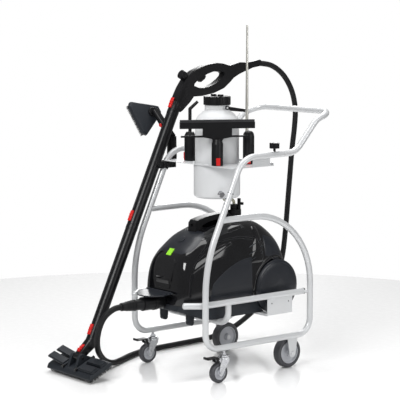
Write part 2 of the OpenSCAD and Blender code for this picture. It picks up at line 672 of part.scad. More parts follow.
// an extension tube from seam a to seam b with a socket at its foot
module extension(a, b) difference() {
    union() {
        lance() translate([0, 0, a + 0.2]) cylinder(h = b - a - 0.4, d = lance_d);
        lance() translate([0, 0, b - 1]) cylinder(h = 26, d = 30);
    }
    lance() translate([0, 0, a - 1]) cylinder(h = b - a + 40, d = 20);
    lance() translate([0, 0, a - 1]) cylinder(h = 28, d = 30.4);
    lance() translate([-9, -lance_d, a + 8]) cube([18, lance_d - 19.5, 48]);
}
module lance_tube_upper() color(DARK) extension(seam[1], seam[2]);
module lance_tube_lower() color(DARK) extension(seam[0], seam[1]);
module latch(a) color(RED) lance() translate([-8.6, -27.5, a + 10]) {
    cube([17.2, 5.6, 44]);
    translate([0, -1.5, 16]) cube([17.2, 2, 4]);
    translate([0, -1.5, 26]) cube([17.2, 2, 4]);
}
module latch_top() latch(seam[2] - 9.6);
module latch_middle() latch(seam[1]);
module latch_bottom() latch(seam[0]);

// hinge line of the floor brush
hinge_n = 56;
module on_brush() translate(brush_c)
    translate([0, 0, brush_dep / 2 * sin(brush_tilt)])
    rotate([brush_tilt, 0, 0]) children();
module brush_neck() color(DARK) difference() {
    union() {
        lance() cylinder(h = seam[0], d = lance_d);
        lance() translate([0, 0, seam[0] - 1]) cylinder(h = 26, d = 30);
        hull() {
            lance() translate([0, 0, 1]) cylinder(h = 20, d = lance_d - 1, $fn = 32);
            on_brush() translate([0, 8, hinge_n]) rotate([0, 90, 0])
                cylinder(h = 34, d = 26, center = true, $fn = 32);
        }
        on_brush() translate([0, 8, hinge_n]) rotate([0, 90, 0])
            cylinder(h = 34, d = 28, center = true);
    }
    on_brush() translate([0, 8, hinge_n]) rotate([0, 90, 0])
        cylinder(h = 60, d = 10.4, center = true);
    lance() translate([0, 0, 6]) cylinder(h = 60, d = 20);
    // room for the ears of the brush
    for (s = [-1, 1]) on_brush() translate([s * 37.5, 8, hinge_n])
        rotate([0, 90, 0]) cylinder(h = 40, d = 62, center = true);
    translate([foot[0] - 9.5, -573, 98.5]) rotate([34, 0, 0])
        translate([0, -1, -2.4]) cube([19, 38, 30]);
}
module brush_lock() color(RED) translate([foot[0] - 9, -573, 98.5])
    rotate([34, 0, 0]) {
        cube([18, 36, 9]);
        translate([0, 6, 8]) cube([18, 5, 4]);
        translate([0, 18, 8]) cube([18, 5, 4]);
    }

module floor_brush() color(SLATE) on_brush() {
    w = brush_w;
    t = bristle_len;
    // bristle field
    difference() {
        translate([-w / 2 + 10, -brush_dep / 2 + 1, 0]) cube([w - 20, brush_dep - 2, t]);
        translate([-w / 2 + 32, -brush_dep / 2 + 22, -1]) cube([w - 64, brush_dep - 44, t]);
    }
    // body with sloping skirts
    rotate([90, 0, 90]) translate([0, 0, -w / 2]) linear_extrude(w)
        polygon([[-brush_dep / 2 - 3, t - 1], [brush_dep / 2, t - 1],
            [brush_dep / 2, t + 10], [brush_dep / 2 - 8, t + 17],
            [-brush_dep / 2 + 10, t + 17], [-brush_dep / 2 - 3, t + 5]]);
    // hump with the ears of the hinge
    for (s = [-1, 1]) translate([s * 25.2 - 7, 0, 0]) rotate([90, 0, 90])
        linear_extrude(14) polygon([[-44, t + 16], [46, t + 16],
            [22, hinge_n + 12], [8, hinge_n + 16], [-8, hinge_n + 10]]);
    translate([0, 8, hinge_n]) rotate([0, 90, 0])
        cylinder(h = 64, d = 10, center = true);
    // knuckles for the cloth clamps
    for (s = [-1, 1]) for (v = [-46, 46]) translate([s * 44, v, t + 22])
        difference() {
            translate([-6, -4, -8]) cube([12, 8, 14]);
            rotate([90, 0, 0]) cylinder(h = 12, d = 6.2, center = true);
        }
}
// spring clamps that grip a cloth at the ends of the brush
module cloth_clamp(s, a) on_brush() translate([s * 44, 0, bristle_len + 22])
    rotate([0, -s * a, 0]) {
        rotate([90, 0, 0]) cylinder(h = 104, d = 6, center = true);
        difference() {
            translate([s > 0 ? 2 : -104, -41, -3]) cube([102, 82, 5]);
            translate([s * 60 - 46, -5, -5]) cube([92, 10, 10]);
        }
        for (v = [-38, 8]) translate([s > 0 ? 8 : -100, v, 1.8]) cube([92, 30, 5]);
    }
module cloth_clamp_left() color(DARK) cloth_clamp(-1, 13);
module cloth_clamp_right() color(SLATE) cloth_clamp(1, 0);

// ---- accessories -----------------------------------------------------------
tri_top = [-342, -82, 1035];
module triangle_neck() color(DARK) difference() {
    union() {
        translate([post[0], post[1], tray_z + tray_t + 0.2]) cylinder(h = 92, d1 = 42, d2 = 38);
        stick([post[0], post[1], 926], tri_top, 36, 30);
    }
    translate([post[0], post[1], tray_z + tray_t - 1]) cylinder(h = 40, d = 22.6);
    on_triangle() translate([-100, -100, -109.7]) cube([200, 200, 100]);
}
tri_n = unit([0.91, -0.10, 0.40]);
tri_a = unit(cross(tri_n, cross([0.32, 0.26, -0.91], tri_n)));
tri_b = cross(tri_a, tri_n);
module on_triangle() multmatrix([[tri_a[0], -tri_b[0], tri_n[0], tri_top[0]],
    [tri_a[1], -tri_b[1], tri_n[1], tri_top[1]],
    [tri_a[2], -tri_b[2], tri_n[2], tri_top[2]], [0, 0, 0, 1]]) children();
function delta(w, h, c) = [[-w + c, -h], [w - c, -h], [w, -h + c],
    [w * 0.27 + 4, 30], [14, 42], [-14, 42], [-w * 0.27 - 4, 30], [-w, -h + c]];
module triangle_brush() color(SLATE) on_triangle() {
    translate([0, 0, -24]) cylinder(h = 14, d = 40);
    translate([0, 0, -46]) linear_extrude(24) polygon(delta(78, 84, 14));
    difference() {
        translate([0, 0, -66]) linear_extrude(21) polygon(delta(74, 80, 12));
        translate([0, 0, -67]) linear_extrude(18) polygon(delta(56, 62, 10));
    }
}

module tool_neck(h) difference() {
    cylinder(h = h, d = 46);
    translate([0, 0, -1]) cylinder(h = 60, d = 36);
}
module squeegee() translate([pegs[1][0], pegs[1][1], tray_z + tray_t + 0.2])
    rotate(60) {
        color(DARK) {
            tool_neck(86);
            translate([0, 0, 85]) cylinder(h = 20, d1 = 46, d2 = 36);
            rotate([90, 0, 0]) translate([0, 0, -9]) linear_extrude(18)
                polygon([[-16, 96], [16, 96], [24, 108], [62, 114], [62, 120],
                    [58, 122], [58, 152], [-58, 152], [-58, 122], [-62, 120],
                    [-62, 114], [-24, 108]]);
            translate([-squeegee_w / 2 + 4, -4, 113]) cube([squeegee_w - 30, 8, 7]);
            difference() {
                translate([-squeegee_w / 2, -11, 148]) cube([squeegee_w, 22, 26]);
                translate([-squeegee_w / 2 - 1, -2.5, 166]) cube([squeegee_w + 2, 5, 12]);
            }
        }
        color(ZINC) translate([-squeegee_w / 2, -2.5, 165]) cube([squeegee_w, 5, 18]);
        color(RED) translate([-8, -25, 2]) cube([16, 6, 30]);
    }

module detail_nozzle() translate([pegs[0][0], pegs[0][1], tray_z + tray_t + 0.2]) {
    color(DARK) {
        tool_neck(104);
        translate([0, 0, 103]) cylinder(h = 16, d1 = 46, d2 = 30);
        translate([0, 0, 110]) cylinder(h = 102, d = 14);
        translate([0, 0, 212]) sphere(d = 14);
        stick([0, 0, 212], [20, 25, 242], 14, 12);
    }
    color(RED) rotate(40) translate([-25, -8, 3]) cube([6, 16, 32]);
}
module adapter_tube() translate([pegs[2][0], pegs[2][1], tray_z + tray_t + 0.2]) {
    color(DARK) {
        tool_neck(110);
        translate([0, 0, 110]) rotate_extrude() polygon([[0, 0], [23, 0],
            [22, 8], [19, 16], [13, 22], [0, 25]]);
    }
    color(RED) rotate(-40) translate([19, -8, 3]) cube([6, 16, 32]);
}

module hose_rod() color([0.82, 0.80, 0.70]) translate([rod_at[0], rod_at[1], 0]) {
    translate([0, 0, tray_z + tray_t + 2]) cylinder(h = 45, d = 14.5);
    translate([0, 0, tray_z + tray_t + 46]) cylinder(h = rod_top - 940, d1 = 14.5, d2 = rod_tip_d);
    translate([0, 0, rod_top - 55]) cylinder(h = 55, d = rod_tip_d);
}

module bottle() color(PALE) translate([bottle_c[0], bottle_c[1], 0]) {
    r = bottle_d / 2;
    rotate_extrude($fn = 96) polygon([[0, 703.2], [78, 703.2], [r - 4, 707.4],
        [r, 716], [r, 1004], [r - 5, 1020], [r - 18, 1036], [54, 1050],
        [50, 1054], [50, 1078], [46, 1078], [46, 1053], [52, 1047],
        [r - 19, 1032], [r - 8, 1018], [r - 3, 1003], [r - 3, 717],
        [r - 7, 710], [76, 706.5], [0, 706.5]]);
    for (s = [-1, 1]) translate([s * 49, 0, 1064]) rotate([0, s * 90, 0])
        cylinder(h = 17, d = 8);
}
module bottle_cap() color(DARK) translate([bottle_c[0], bottle_c[1], 0]) {
    difference() {
        translate([0, 0, 1074]) cylinder(h = 34, d = 110);
        translate([0, 0, 1073]) cylinder(h = 31, d = 100.8);
        for (a = [0 : 15 : 345]) rotate(a) translate([56, 0, 1070])
            cylinder(h = 50, d = 5);
    }
    difference() {
        translate([-32, -7, 1107]) cube([64, 14, 9]);
        translate([-12, -8, 1110]) cube([24, 16, 9]);
    }
}
// strap handle folded back over the shoulder
module bottle_bail() color(DARK) translate([bottle_c[0], bottle_c[1], 1064])
    rotate([-9, 0, 0]) {
        for (s = [-1, 1]) difference() {
            translate([s * 62.5 - 2, 0, -6]) union() {
                cube([4, 96, 12]);
                translate([0, 0, 6]) rotate([0, 90, 0]) cylinder(h = 4, d = 17);
            }
            rotate([0, 90, 0]) cylinder(h = 140, d = 8.6, center = true);
        }
        translate([-64.5, 90, -6]) cube([129, 6, 12]);
    }

// clear line from the bottle's tap down to the refill valve
module water_tube() color([0.9, 0.88, 0.7])
    hollow_bent([[0, 62, 645], [0, 62, 682], [0, 8, 682], [0, 8, 699.8]],
        [0, 14, 12, 0], 12, 8);

translate(shift) {
    handle_frame();
    side_loop_left();
    side_loop_right();
    cradle_rails();
    cradle_bracket();
    tool_tray();
    bottle_holder();
    lance_clip();
    clamp_knob();
    caster_stems();
    caster_fork_left();
    caster_fork_right();
    caster_brake_left();
    caster_brake_right();
    caster_wheel_left();
    caster_wheel_right();
    caster_tyre_left();
    caster_tyre_right();
    rear_axle_plates();
    rear_wheel_left();
    rear_wheel_right();
    rear_tyre_left();
    rear_tyre_right();
    generator_cover();
    generator_base();
    front_panel();
    display_window();
    power_button();
    carry_handle();
    refill_adapter();
    outlet_flap();
    hose_socket();
    generator_wheel_left();
    generator_wheel_right();
    boiler();
    hose();
    hose_plug();
    steam_handle();
    trigger();
    steam_knob();
    lance_tube_upper();
    lance_tube_lower();
    latch_top();
    latch_middle();
    latch_bottom();
    brush_neck();
    brush_lock();
    floor_brush();
    cloth_clamp_left();
    cloth_clamp_right();
    triangle_neck();
    triangle_brush();
    squeegee();
    detail_nozzle();
    adapter_tube();
    hose_rod();
    bottle();
    bottle_cap();
    bottle_bail();
    water_tube();
}
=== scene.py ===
"""Looks of a vapour steam cleaner on a tube trolley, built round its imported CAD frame."""

import json
import math
import random

import bmesh
import bpy
from mathutils import Matrix, Vector

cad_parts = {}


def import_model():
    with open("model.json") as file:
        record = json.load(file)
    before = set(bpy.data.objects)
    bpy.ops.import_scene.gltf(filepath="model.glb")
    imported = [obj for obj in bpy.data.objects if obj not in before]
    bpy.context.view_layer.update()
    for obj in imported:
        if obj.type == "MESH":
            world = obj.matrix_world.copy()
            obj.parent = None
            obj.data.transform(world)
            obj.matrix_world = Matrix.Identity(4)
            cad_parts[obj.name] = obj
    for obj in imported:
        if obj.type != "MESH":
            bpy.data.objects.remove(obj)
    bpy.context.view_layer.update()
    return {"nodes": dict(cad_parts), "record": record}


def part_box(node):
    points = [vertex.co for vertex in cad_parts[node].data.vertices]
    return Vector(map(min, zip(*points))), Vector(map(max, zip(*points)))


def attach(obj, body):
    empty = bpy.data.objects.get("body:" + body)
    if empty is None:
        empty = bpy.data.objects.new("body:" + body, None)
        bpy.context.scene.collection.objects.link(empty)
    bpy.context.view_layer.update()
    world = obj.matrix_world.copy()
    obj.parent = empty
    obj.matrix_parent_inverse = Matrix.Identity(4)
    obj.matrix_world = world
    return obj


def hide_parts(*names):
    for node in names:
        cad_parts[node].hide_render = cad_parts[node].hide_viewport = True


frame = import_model()
random.seed(7)

NODES = frame["nodes"]
BODY = {n: b for b, ns in frame["record"]["behaviour"]["bodies"].items() for n in ns}
SLOT = {p["node"]: p["material_slot"] for p in frame["record"]["subparts"]}

# ---- design frame ------------------------------------------------------------
# Lengths below are in the trolley's own millimetres, as in the part's source. The
# hose rod stands at (74, 67) there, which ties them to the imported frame.
ROD = (74.0, 67.0)
rod_low, rod_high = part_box("hose_rod")
SHIFT = Vector(((rod_low.x + rod_high.x) / 2 - ROD[0] / 1000,
                (rod_low.y + rod_high.y) / 2 - ROD[1] / 1000, 0.0))


def at(x, y, z):
    """A point of the design frame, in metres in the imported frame."""
    return SHIFT + Vector((x, y, z)) / 1000


# ---- materials ---------------------------------------------------------------
def surface(name, colour, rough, vary=0.06, grain=900.0, bump=0.05, metal=0.0, coat=0.0,
            marks=0.03, alpha=1.0, transmit=0.0, sheen=0.0, specular=0.5):
    """Colour with slow variation, roughness with smudges and a fine moulded or cast grain."""
    mat = bpy.data.materials.new(name)
    mat.use_nodes = True
    tree = mat.node_tree
    shader = tree.nodes["Principled BSDF"]
    shader.inputs["Metallic"].default_value = metal
    shader.inputs["Coat Weight"].default_value = coat
    shader.inputs["Coat Roughness"].default_value = 0.04
    shader.inputs["Sheen Weight"].default_value = sheen
    shader.inputs["Specular IOR Level"].default_value = specular
    shader.inputs["Transmission Weight"].default_value = transmit
    shader.inputs["Alpha"].default_value = alpha
    place = tree.nodes.new("ShaderNodeTexCoord")

    def noise(scale, detail):
        node = tree.nodes.new("ShaderNodeTexNoise")
        node.inputs["Scale"].default_value = scale
        node.inputs["Detail"].default_value = detail
        tree.links.new(place.outputs["Object"], node.inputs["Vector"])
        return node.outputs["Fac"]

    def ramp(source, low, high):
        node = tree.nodes.new("ShaderNodeValToRGB")
        node.color_ramp.elements[0].position = 0.3
        node.color_ramp.elements[1].position = 0.7
        node.color_ramp.elements[0].color = low
        node.color_ramp.elements[1].color = high
        tree.links.new(source, node.inputs["Fac"])
        return node.outputs["Color"]

    dark = [c * (1 - vary) for c in colour] + [1.0]
    light = [min(1.0, c * (1 + vary) + vary * 0.01) for c in colour] + [1.0]
    tree.links.new(ramp(noise(14.0, 4.0), dark, light), shader.inputs["Base Color"])
    low, high = max(0.02, rough - marks), min(1.0, rough + marks)
    tree.links.new(ramp(noise(38.0, 6.0), [low] * 3 + [1], [high] * 3 + [1]),
                   shader.inputs["Roughness"])
    rise = tree.nodes.new("ShaderNodeBump")
    rise.inputs["Strength"].default_value = bump
    rise.inputs["Distance"].default_value = 0.0004
    tree.links.new(noise(grain, 2.0), rise.inputs["Height"])
    tree.links.new(rise.outputs["Normal"], shader.inputs["Normal"])
    return mat


PAINT = surface("silver_paint", (0.60, 0.61, 0.62), 0.32, 0.01, 1500, 0.01, metal=0.2, coat=0.3,
                marks=0.015)
SHEET = surface("light_sheet", (0.66, 0.67, 0.68), 0.36, 0.01, 1300, 0.02, metal=0.1, coat=0.2,
                marks=0.015)
ZINC = surface("zinc_plate", (0.60, 0.61, 0.63), 0.26, 0.10, 500, 0.06, metal=0.95)
STEEL = surface("turned_steel", (0.56, 0.56, 0.58), 0.22, 0.06, 900, 0.05, metal=1.0)
GLOSS = surface("piano_black", (0.004, 0.004, 0.005), 0.08, 0.1, 200, 0.001, coat=0.35,
                marks=0.01, specular=0.4)
PANEL = surface("slate_side", (0.010, 0.012, 0.017), 0.34, 0.05, 1600, 0.02, coat=0.15, specular=0.4)
SLATE = surface("slate_plastic", (0.014, 0.017, 0.022), 0.50, 0.06, 1500, 0.05, specular=0.3)
BLACK = surface("black_plastic", (0.004, 0.004, 0.005), 0.40, 0.10, 1700, 0.05, specular=0.25)
LANCE = surface("lance_black", (0.004, 0.004, 0.005), 0.32, 0.10, 1900, 0.04, specular=0.3)
RUBBER = surface("hose_rubber", (0.005, 0.005, 0.006), 0.50, 0.10, 1200, 0.08, specular=0.25)
TYRE = surface("grey_tyre", (0.055, 0.056, 0.062), 0.55, 0.12, 900, 0.15)
HUB = surface("grey_hub", (0.46, 0.47, 0.50), 0.38, 0.05, 1200, 0.06)
RED = surface("signal_red", (0.62, 0.012, 0.010), 0.28, 0.06, 1000, 0.05)
LIME = surface("lit_display", (0.30, 0.74, 0.03), 0.14, 0.05, 400, 0.01, coat=0.6)
MILK = surface("milky_bottle", (0.72, 0.73, 0.74), 0.34, 0.01, 700, 0.01, transmit=0.08,
               marks=0.01)
HOLDER = surface("holder_paint", (0.68, 0.69, 0.70), 0.38, 0.01, 1300, 0.02, coat=0.1,
                 marks=0.01)
BRASS = surface("rod_steel", (0.66, 0.65, 0.60), 0.30, 0.06, 900, 0.05, metal=0.8)
CLEAR = surface("clear_hose", (0.74, 0.72, 0.58), 0.16, 0.04, 500, 0.02, transmit=0.6)
BRISTLE = surface("nylon_bristle", (0.016, 0.016, 0.019), 0.42, 0.25, 2500, 0.15)
BLADE = surface("blade_rubber", (0.022, 0.022, 0.025), 0.60, 0.10, 900, 0.08)

BY_SLOT = {"frame_paint": PAINT, "sheet_paint": SHEET, "zinc": ZINC, "boiler_steel": STEEL,
           "shell_black": GLOSS, "slate": SLATE, "black": BLACK, "red": RED, "hub_grey": HUB,
           "tyre_grey": TYRE, "hose_rubber": RUBBER, "display": LIME, "rod": BRASS,
           "bottle_milk": MILK, "clear_tube": CLEAR}


# ---- mesh helpers ------------------------------------------------------------
def new_piece(name, verts, faces, mats, body, smooth=True, sharp=40.0, slot=None, nodes=()):
    """A mesh object that rides on a body and may stand for CAD nodes."""
    mesh = bpy.data.meshes.new(name)
    mesh.from_pydata([tuple(v) for v in verts], [], faces)
    return dress(bpy.data.objects.new(name, mesh), mats, body, smooth, sharp, nodes)


def dress(obj, mats, body, smooth=True, sharp=40.0, nodes=()):
    bpy.context.scene.collection.objects.link(obj)
    obj.data.materials.clear()
    for mat in mats:
        obj.data.materials.append(mat)
    finish_normals(obj, smooth, sharp)
    if nodes:
        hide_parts(*nodes)
    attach(obj, body)
    return obj


def finish_normals(obj, smooth=True, sharp=40.0):
    bm = bmesh.new()
    bm.from_mesh(obj.data)
    bmesh.ops.recalc_face_normals(bm, faces=bm.faces)
    bm.to_mesh(obj.data)
    bm.free()
    for poly in obj.data.polygons:
        poly.use_smooth = smooth
    if smooth:
        obj.data.set_sharp_from_angle(angle=math.radians(sharp))


def bevel(obj, width, segments=3, angle=35.0):
    mod = obj.modifiers.new("round_edges", "BEVEL")
    mod.width = width / 1000
    mod.segments = segments
    mod.limit_method = "ANGLE"
    mod.angle_limit = math.radians(angle)
    mod.use_clamp_overlap = True
    mod.harden_normals = True
    return obj


def refined(node, mats=None, width=0.8, segments=3, paint=None, angle=35.0):
    """A copy of a CAD node with rounded edges. paint(centre) may pick the material's number."""
    mesh = NODES[node].data.copy()
    mesh.name = node + "_looks"
    bm = bmesh.new()
    bm.from_mesh(mesh)
    bmesh.ops.remove_doubles(bm, verts=bm.verts, dist=2e-5)
    bmesh.ops.dissolve_limit(bm, angle_limit=math.radians(0.6), verts=bm.verts, edges=bm.edges)
    for face in bm.faces:
        c = (face.calc_center_median() - SHIFT) * 1000
        face.material_index = paint(c) if paint else 0
    bm.to_mesh(mesh)
    bm.free()
    obj = bpy.data.objects.new(node + "_looks", mesh)
    picks = [p.material_index for p in mesh.polygons]
    dress(obj, mats or [BY_SLOT[SLOT[node]]], BODY[node], True, angle, (node,))
    for poly, pick in zip(mesh.polygons, picks):
        poly.material_index = pick
    return bevel(obj, width, segments, angle)


def turned(name, outline, steps=64):
    """Points and faces of a closed outline of (radius, height) turned about Z."""
    verts, faces = [], []
    n = len(outline)
    for k in range(steps):
        a = 2 * math.pi * k / steps
        verts += [Vector((r * math.cos(a), r * math.sin(a), z)) for r, z in outline]
    for k in range(steps):
        for i in range(n):
            j, m = (i + 1) % n, (k + 1) % steps
            faces.append((k * n + i, k * n + j, m * n + j, m * n + i))
    return verts, faces


def place(verts, matrix):
    """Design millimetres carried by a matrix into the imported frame."""
    return [SHIFT + (matrix @ Vector(v)) / 1000 for v in verts]


def facing(origin, axis, roll=Vector((0, 0, 1))):
    """Matrix whose Z runs along axis from origin."""
    z = Vector(axis).normalized()
    x = roll.cross(z) if abs(roll.dot(z)) < 0.98 else Vector((1, 0, 0)).cross(z)
    x.normalize()
    y = z.cross(x)
    rot = Matrix((x, y, z)).transposed().to_4x4()
    return Matrix.Translation(Vector(origin)) @ rot


def swept(points, radius, sides=28, ripple=None):
    """A round tube through dense points; ripple(i) scales the radius at point i."""
    verts, faces = [], []
    tangents = [(points[min(i + 1, len(points) - 1)] - points[max(i - 1, 0)]).normalized()
                for i in range(len(points))]
    side = Vector((0.9, 0.3, 0.2))
    for i, (p, t) in enumerate(zip(points, tangents)):
        side = (side - t * side.dot(t)).normalized()
        up = t.cross(side)
        r = radius * (ripple(i) if ripple else 1.0)
        for k in range(sides):
            a = 2 * math.pi * k / sides
            verts.append(p + (side * math.cos(a) + up * math.sin(a)) * r)
    for i in range(len(points) - 1):
        for k in range(sides):
            m = (k + 1) % sides
            faces.append((i * sides + k, i * sides + m, (i + 1) * sides + m, (i + 1) * sides + k))
    faces.append(tuple(range(sides)))
    faces.append(tuple((len(points) - 1) * sides + k for k in range(sides)))
    return verts, faces


def filleted(corners, radii, steps=14):
    """Centre line of a bent tube: straight runs joined by arcs."""
    pts = [Vector(corners[0])]
    for i in range(1, len(corners) - 1):
        here = Vector(corners[i])
        u = (here - Vector(corners[i - 1])).normalized()
        v = (Vector(corners[i + 1]) - here).normalized()
        a = u.angle(v)
        q = (v - u * u.dot(v)).normalized()
        start = here - u * radii[i] * math.tan(a / 2)
        centre = start + q * radii[i]
        for k in range(steps + 1):
            t = a * k / steps
            pts.append(centre + (u * math.sin(t) - q * math.cos(t)) * radii[i])
    pts.append(Vector(corners[-1]))
    return pts


# ---- trolley frame -----------------------------------------------------------
HALF_W = 230.0
TUBE_R = 12.5


def upright_y(z):
    """Y of the leaning front upright at height z."""
    return -218 + (z - 595) * 0.4568


def tube(name, corners, radii, body, nodes=(), radius=TUBE_R, mat=None):
    pts = [at(*p) for p in filleted(corners, radii)]
    return new_piece(name, *swept(pts, radius / 1000), [mat or PAINT], body, nodes=nodes,
                     slot=None if nodes else "frame_paint")


def weld(name, point, axis, radius=TUBE_R, thick=1.6):
    """A bead of weld round a tube where it meets another."""
    ring = [(radius - 1 + thick * math.cos(a), thick * 1.6 * math.sin(a))
            for a in [2 * math.pi * k / 10 for k in range(10)]]
    verts, faces = turned(name, ring, 40)
    wobble = random.Random(len(name))
    verts = [Vector((v.x, v.y, v.z + wobble.uniform(-0.3, 0.3))) for v in verts]
    return new_piece(name, place(verts, facing(point, axis)), faces, [PAINT], "trolley",
                     slot="frame_paint")


def side_frame(s, name):
    x = s * HALF_W
    loop = [(x, upright_y(742), 742), (x, -275, 470), (x, -275, 136), (x, 277, 136),
            (x, 277, 645), (x, upright_y(641) + 2, 641)]
    tube("side_frame_" + name, loop, [0, 560, 62, 62, 300, 0], "trolley",
         ("side_loop_" + name,))
    weld("weld_top_" + name, (x, upright_y(641) + 15.5, 641), (0, 1, 0))
    tip = Vector((x, upright_y(744), 744))
    lean = Vector((0, 0.4568, 1)).normalized()
    ring = [(TUBE_R - 1, -2.2), (TUBE_R + 0.5, -1.6), (TUBE_R + 0.7, 0), (TUBE_R + 0.5, 1.6),
            (TUBE_R - 1, 2.2)]
    new_piece("joint_ring_" + name, place(turned("r", ring, 40)[0], facing(tip, lean)),
              turned("r", ring, 40)[1], [ZINC], "trolley", slot="zinc")
    for k, z in enumerate((706, 724)):
        bolt("joint_screw_%s_%d" % (name, k), (x, upright_y(z) - 12.4, z), (0, -1, 0.42), 4.2, 2.4)


def bolt(name, point, axis, radius, height, mat=None, body="trolley", slot="zinc"):
    """A domed screw head with a round socket."""
    head = [(radius * 0.5, height * 0.45), (radius * 0.55, height), (radius * 0.82, height * 0.9),
            (radius, height * 0.5), (radius, -0.6), (0.05, -0.6), (0.05, height * 0.45)]
    verts, faces = turned(name, head, 24)
    return new_piece(name, place(verts, facing(point, axis)), faces, [mat or ZINC], body,
                     slot=slot, sharp=30)


for s, name in ((-1, "left"), (1, "right")):
    side_frame(s, name)

BAR_Y, BAR_Z = 392, 1040
half = [(HALF_W, upright_y(745), 745), (HALF_W, -88, 880), (HALF_W, 190, 884),
        (HALF_W, 305, BAR_Z - 28), (HALF_W, BAR_Y, BAR_Z)]
bar = [(-x, y, z) for x, y, z in half] + half[::-1]
tube("push_bar", bar, [0, 100, 90, 90, 60, 60, 90, 90, 100, 0], "trolley", ("handle_frame",))

RAIL_X, RAIL_Z = 206, 308
CAP_R, CAP_RISE, CAP_STEPS = TUBE_R + 0.1, 9, 9
cap = [(CAP_R * math.cos(a) + 0.05, CAP_RISE * math.sin(a))
       for a in (math.radians(90 - 90 / CAP_STEPS * k) for k in range(CAP_STEPS + 1))]
cap += [(CAP_R, -3), (0.05, -3)]
for s, name in ((-1, "left"), (1, "right")):
    rail = [(s * RAIL_X, 262, RAIL_Z), (s * RAIL_X, -275, RAIL_Z),
            (s * (RAIL_X - 43), -326, RAIL_Z)]
    tube("rail_" + name, rail, [0, 35, 0], "trolley")
    tip = Vector(rail[2])
    run = (tip - Vector(rail[1])).normalized()
    new_piece("rail_cap_" + name, place(turned("c", cap, 40)[0], facing(tip, run)),
              turned("c", cap, 40)[1], [PAINT], "trolley", slot="frame_paint")
    new_piece("rail_end_" + name, place(turned("c", cap, 40)[0],
              facing((s * RAIL_X, 262, RAIL_Z), (0, 1, 0))), turned("c", cap, 40)[1],
              [BLACK], "trolley", slot="black")
    lug = [(s * (RAIL_X + 6), -268, RAIL_Z), (s * (HALF_W - 8), -272, RAIL_Z)]
    tube("rail_lug_" + name, lug, [0, 0], "trolley", radius=6)
    tube("rail_lug_rear_" + name, [(s * (RAIL_X + 4), 258, RAIL_Z), (s * (HALF_W - 6), 270, RAIL_Z)],
         [0, 0], "trolley", radius=7)
hoop = [(RAIL_X, -140, RAIL_Z - 4), (RAIL_X, -140, 222), (-RAIL_X, -140, 222),
        (-RAIL_X, -140, RAIL_Z - 4)]
tube("cradle_hoop", hoop, [0, 50, 50, 0], "trolley", ("cradle_rails",))
for s, name in ((-1, "left"), (1, "right")):
    weld("weld_hoop_" + name, (s * RAIL_X, -140, RAIL_Z - 13), (0, 0, 1))

# ---- plain parts that keep their CAD shape, with rounded edges ----------------
PLAIN = {"cradle_bracket": 0.5, "lance_clip": 1.4, "clamp_knob": 1.6, "caster_stems": 0.5,
         "caster_fork_left": 0.6, "caster_fork_right": 0.6, "caster_brake_left": 1.2,
         "caster_brake_right": 1.2, "rear_axle_plates": 0.7, "caster_wheel_left": 0.8,
         "caster_wheel_right": 0.8, "caster_tyre_left": 1.6, "caster_tyre_right": 1.6,
         "rear_wheel_left": 1.0, "rear_wheel_right": 1.0, "rear_tyre_left": 2.2,
         "rear_tyre_right": 2.2, "generator_wheel_left": 1.6, "generator_wheel_right": 1.6,
         "refill_adapter": 1.6, "hose_socket": 1.2, "trigger": 1.5,
         "steam_knob": 1.2, "latch_top": 0.7, "latch_middle": 0.7, "latch_bottom": 0.7,
         "brush_neck": 1.5, "brush_lock": 0.9, "cloth_clamp_left": 1.6,
         "cloth_clamp_right": 1.6, "triangle_neck": 1.6, "hose_rod": 0.6, "bottle": 0.8,
         "bottle_cap": 1.2, "bottle_bail": 1.3, "water_tube": 0.3, "boiler": 0.5,
         "outlet_flap": 1.4, "display_window": 1.0, "power_button": 1.6,
         "bottle_holder": 0.5, "tool_tray": 0.5, "front_panel": 0.8}
OWN = {"bottle_holder": HOLDER, "outlet_flap": PANEL, "power_button": PANEL,
       "front_panel": GLOSS, "cloth_clamp_left": SLATE, "cloth_clamp_right": SLATE,
       "brush_neck": LANCE, "generator_wheel_left": PANEL, "generator_wheel_right": PANEL}
for node, width in PLAIN.items():
    refined(node, [OWN[node]] if node in OWN else None, width)


def kept(node, mat):
    """A CAD node that is shown as it is, with a better material."""
    mesh = NODES[node].data
    for k in range(len(mesh.materials)):
        mesh.materials[k] = mat
    return NODES[node]


kept("hose_plug", BLACK)


# ---- tools with red latches and dark blades -----------------------------------
PEGS = {"squeegee": (95, -105), "detail_nozzle": (-135, -60), "adapter_tube": (120, 37)}


def near_latch(node):
    """True for faces on the short red latch that stands out of a tool's neck."""
    px, py = PEGS[node]

    def pick(c):
        out = math.hypot(c.x - px, c.y - py)
        return 1 if out > 23.15 and 838 < c.z < 876 else 0
    return pick


def squeegee_paint(c):
    if c.z > 839.2 + 166:
        return 2
    return near_latch("squeegee")(c)


refined("squeegee", [BLACK, RED, BLADE], 1.1, 3, squeegee_paint)
refined("detail_nozzle", [BLACK, RED], 1.0, 3, near_latch("detail_nozzle"))
refined("adapter_tube", [BLACK, RED], 1.0, 3, near_latch("adapter_tube"))

# ---- lance ---------------------------------------------------------------------
FOOT = Vector((-205, -518.6, 118))
ROLL = Matrix.Rotation(math.radians(-3), 4, "Y")
PLANE = Matrix.Translation(FOOT) @ ROLL
ALONG = PLANE @ Matrix.Rotation(math.radians(-26.8), 4, "X")
SEAMS = (28, 520, 1035)
for node in ("lance_tube_upper", "lance_tube_lower"):
    refined(node, [LANCE], 1.2)
for k, d in enumerate(SEAMS):
    collar = [(23.6, -9), (24.6, -8), (24.9, 0), (24.6, 8), (23.6, 9)]
    verts, faces = turned("c", collar, 64)
    new_piece("lance_collar_%d" % k, place(verts, ALONG @ Matrix.Translation((0, 0, d - 12))),
              faces, [LANCE], "trolley", slot="black")
